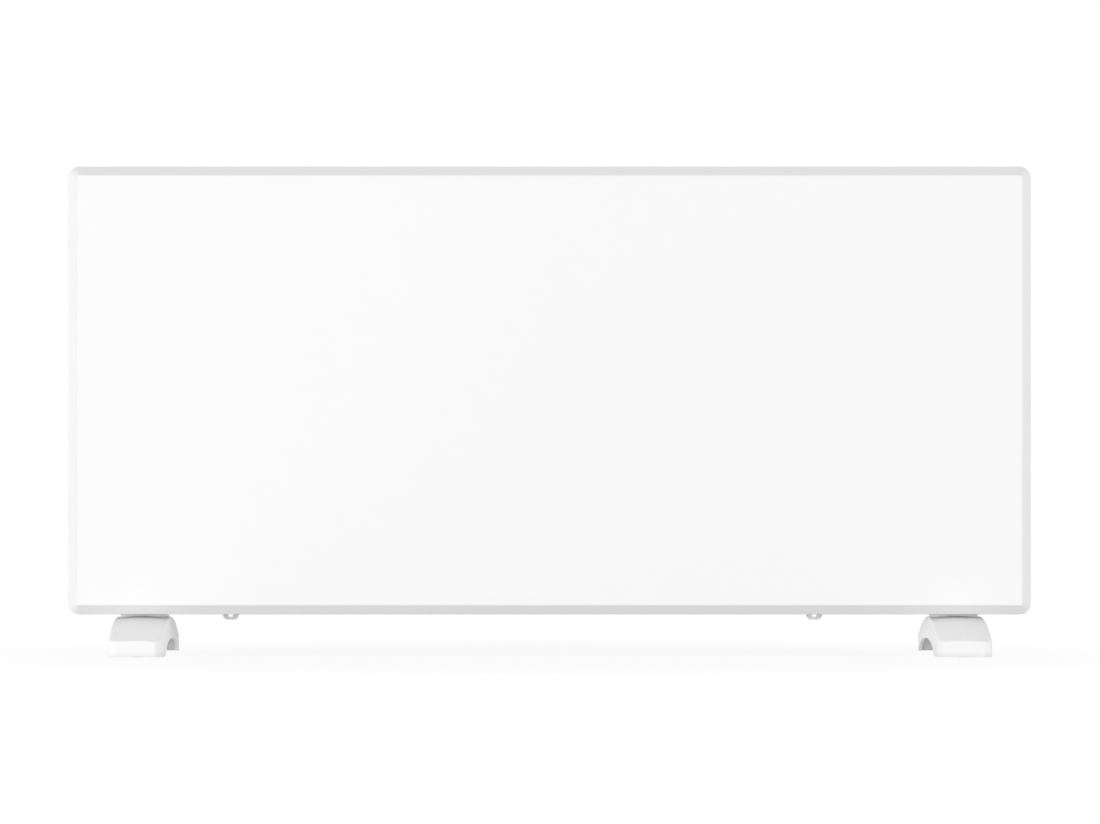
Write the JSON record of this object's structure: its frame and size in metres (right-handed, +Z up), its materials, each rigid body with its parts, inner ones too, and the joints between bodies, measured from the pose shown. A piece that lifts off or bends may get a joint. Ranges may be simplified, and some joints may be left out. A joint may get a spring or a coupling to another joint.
{
  "type": "panel heater",
  "caption": "Slim white electric panel heater: a flat glass front in a bevelled frame, a slotted convector casing behind, arched floor feet and end controls.",
  "frame": {"origin": "on the floor, under the middle of the heater's bounding box", "axes": "+X to the right seen from the front, +Y from the front to the back, +Z up"},
  "size_m": [0.86, 0.21, 0.4365],
  "materials": {
    "frame_paint": "satin",
    "glass_white": "gloss, white coating behind the glass",
    "foam_tape": "matte",
    "shield_steel": "galvanised",
    "screw_steel": "zinc plated",
    "casing_paint": "fine textured powder coat",
    "grille_plastic": "satin",
    "fin_aluminium": "mill finish",
    "rod_steel": "satin",
    "bush_ceramic": "semi gloss, stands for glazed ceramic",
    "bakelite": "semi gloss",
    "control_plastic": "fine texture",
    "knob_plastic": "satin",
    "lamp_red": "clear red",
    "switch_black": "satin",
    "rocker_black": "gloss",
    "terminal_brass": "plain",
    "gland_plastic": "satin",
    "wire_brown": "satin",
    "wire_blue": "satin",
    "wire_green": "satin",
    "foot_plastic": "satin",
    "pad_rubber": "matte"
  },
  "bodies": {
    "heater": {"front_frame": "frame_paint", "front_glass": "glass_white", "glass_tape": "foam_tape", "heat_shield": "shield_steel", "shield_screws": "screw_steel", "rear_casing": "casing_paint", "casing_screws": "screw_steel", "outlet_grille": "grille_plastic", "heat_fins_lower": "fin_aluminium", "heat_fins_upper": "fin_aluminium", "heater_rod_lower": "rod_steel", "heater_rod_upper": "rod_steel", "element_bushes": "bush_ceramic", "element_bracket": "shield_steel", "compartment_wall": "shield_steel", "overheat_cutout": "bakelite", "tip_over_switch": "bakelite", "control_panel": "control_plastic", "thermostat_body": "bakelite", "thermostat_nut": "screw_steel", "pilot_lamp": "lamp_red", "switch_housing_upper": "switch_black", "switch_housing_lower": "switch_black", "terminal_block": "bush_ceramic", "terminal_screws": "terminal_brass", "earth_screw": "terminal_brass", "cord_gland": "gland_plastic", "live_wires": "wire_brown", "neutral_wires": "wire_blue", "earth_wire": "wire_green", "foot_left": "foot_plastic", "foot_right": "foot_plastic", "foot_screws": "screw_steel", "foot_nuts": "screw_steel", "foot_pads": "pad_rubber"},
    "thermostat_dial": {"thermostat_knob": "knob_plastic", "thermostat_shaft": "rod_steel"},
    "upper_rocker": {"heat_rocker_upper": "rocker_black"},
    "lower_rocker": {"heat_rocker_lower": "rocker_black"}
  },
  "joints": [
    {"name": "thermostat_turn", "type": "hinge", "parent": "heater", "child": "thermostat_dial", "pos_m": [0.4225, 0.012, 0.39382], "axis": [-1, 0, 0], "range_deg": [0, 270]},
    {"name": "upper_rocker_tilt", "type": "hinge", "parent": "heater", "child": "upper_rocker", "pos_m": [0.4145, 0.012, 0.33786], "axis": [0, -1, 0], "range_deg": [0, 20]},
    {"name": "lower_rocker_tilt", "type": "hinge", "parent": "heater", "child": "lower_rocker", "pos_m": [0.4145, 0.012, 0.30018], "axis": [0, -1, 0], "range_deg": [0, 20]}
  ]
}
